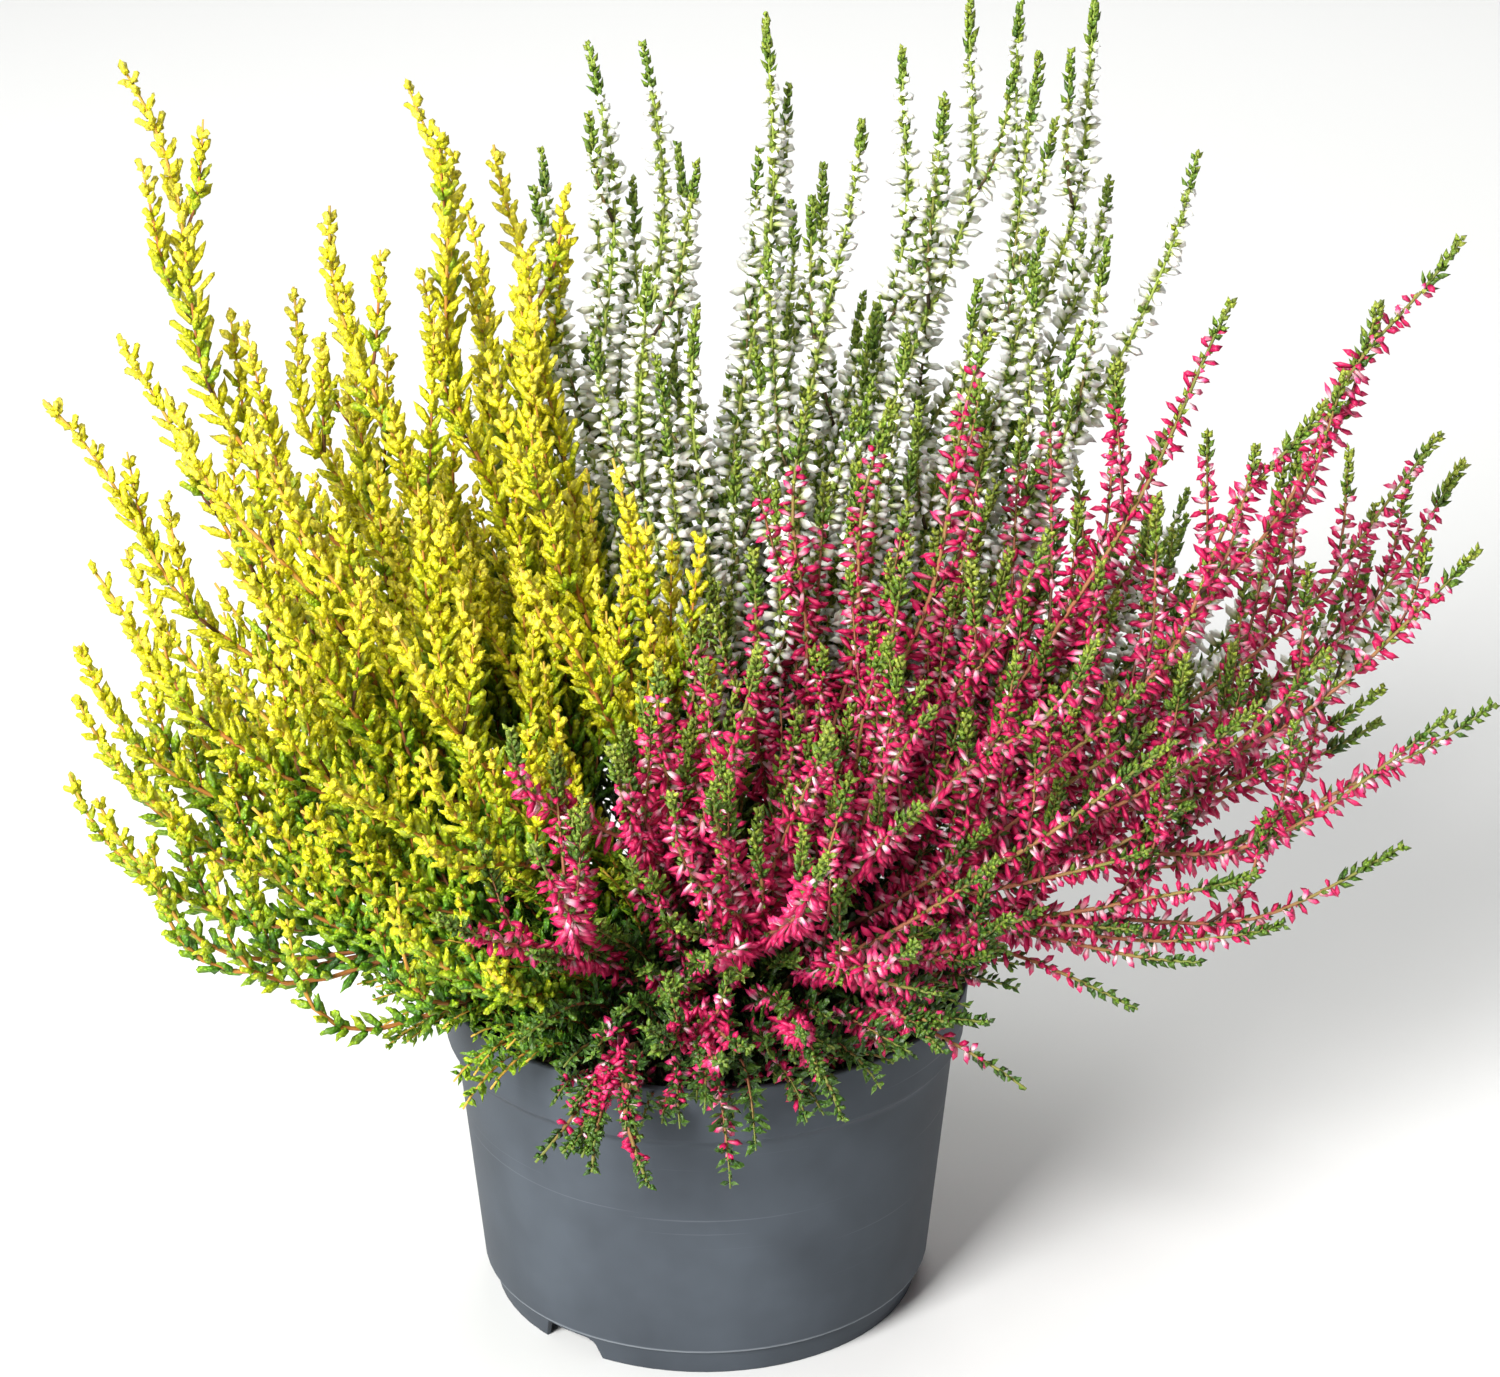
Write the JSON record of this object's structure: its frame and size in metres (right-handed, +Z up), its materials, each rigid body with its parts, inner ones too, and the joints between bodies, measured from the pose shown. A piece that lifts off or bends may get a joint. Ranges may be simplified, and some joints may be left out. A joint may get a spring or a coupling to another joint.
{
  "type": "potted heather",
  "caption": "Yellow, white and pink heathers grown together as one bush of upright flowering shoots in a round plastic nursery pot.",
  "frame": {"origin": "middle of the pot's underside, on the surface it stands on", "axes": "+Z up, -Y towards the front of the bush, +X to the right with the pink heather"},
  "size_m": [0.3815, 0.3072, 0.3299],
  "materials": {
    "pot_plastic": "satin moulded polypropylene, dark grey",
    "soil": "damp peat with fine bark",
    "yellow_foliage": "matte scale leaves, yellow to yellow-green",
    "white_heather": "matte white buds on green leafy stems",
    "pink_heather": "matte magenta buds on green leafy stems"
  },
  "bodies": {
    "root": {"pot": "pot_plastic", "soil": "soil", "pink_spray_01": "pink_heather", "pink_spray_02": "pink_heather", "pink_spray_03": "pink_heather", "pink_spray_04": "pink_heather", "pink_spray_05": "pink_heather", "pink_spray_06": "pink_heather", "pink_spray_07": "pink_heather", "pink_spray_08": "pink_heather", "pink_spray_09": "pink_heather", "pink_spray_10": "pink_heather", "pink_spray_11": "pink_heather", "pink_spray_12": "pink_heather", "pink_spray_13": "pink_heather", "pink_spray_14": "pink_heather", "pink_spray_15": "pink_heather", "pink_spray_16": "pink_heather", "white_spray_01": "white_heather", "white_spray_02": "white_heather", "white_spray_03": "white_heather", "white_spray_04": "white_heather", "white_spray_05": "white_heather", "white_spray_06": "white_heather", "white_spray_07": "white_heather", "white_spray_08": "white_heather", "white_spray_09": "white_heather", "white_spray_10": "white_heather", "white_spray_11": "white_heather", "white_spray_12": "white_heather", "white_spray_13": "white_heather", "white_spray_14": "white_heather", "yellow_spray_01": "yellow_foliage", "yellow_spray_02": "yellow_foliage", "yellow_spray_03": "yellow_foliage", "yellow_spray_04": "yellow_foliage", "yellow_spray_05": "yellow_foliage", "yellow_spray_06": "yellow_foliage", "yellow_spray_07": "yellow_foliage", "yellow_spray_08": "yellow_foliage", "yellow_spray_09": "yellow_foliage", "yellow_spray_10": "yellow_foliage", "yellow_spray_11": "yellow_foliage", "yellow_spray_12": "yellow_foliage", "yellow_spray_13": "yellow_foliage", "yellow_spray_14": "yellow_foliage"}
  },
  "joints": []
}
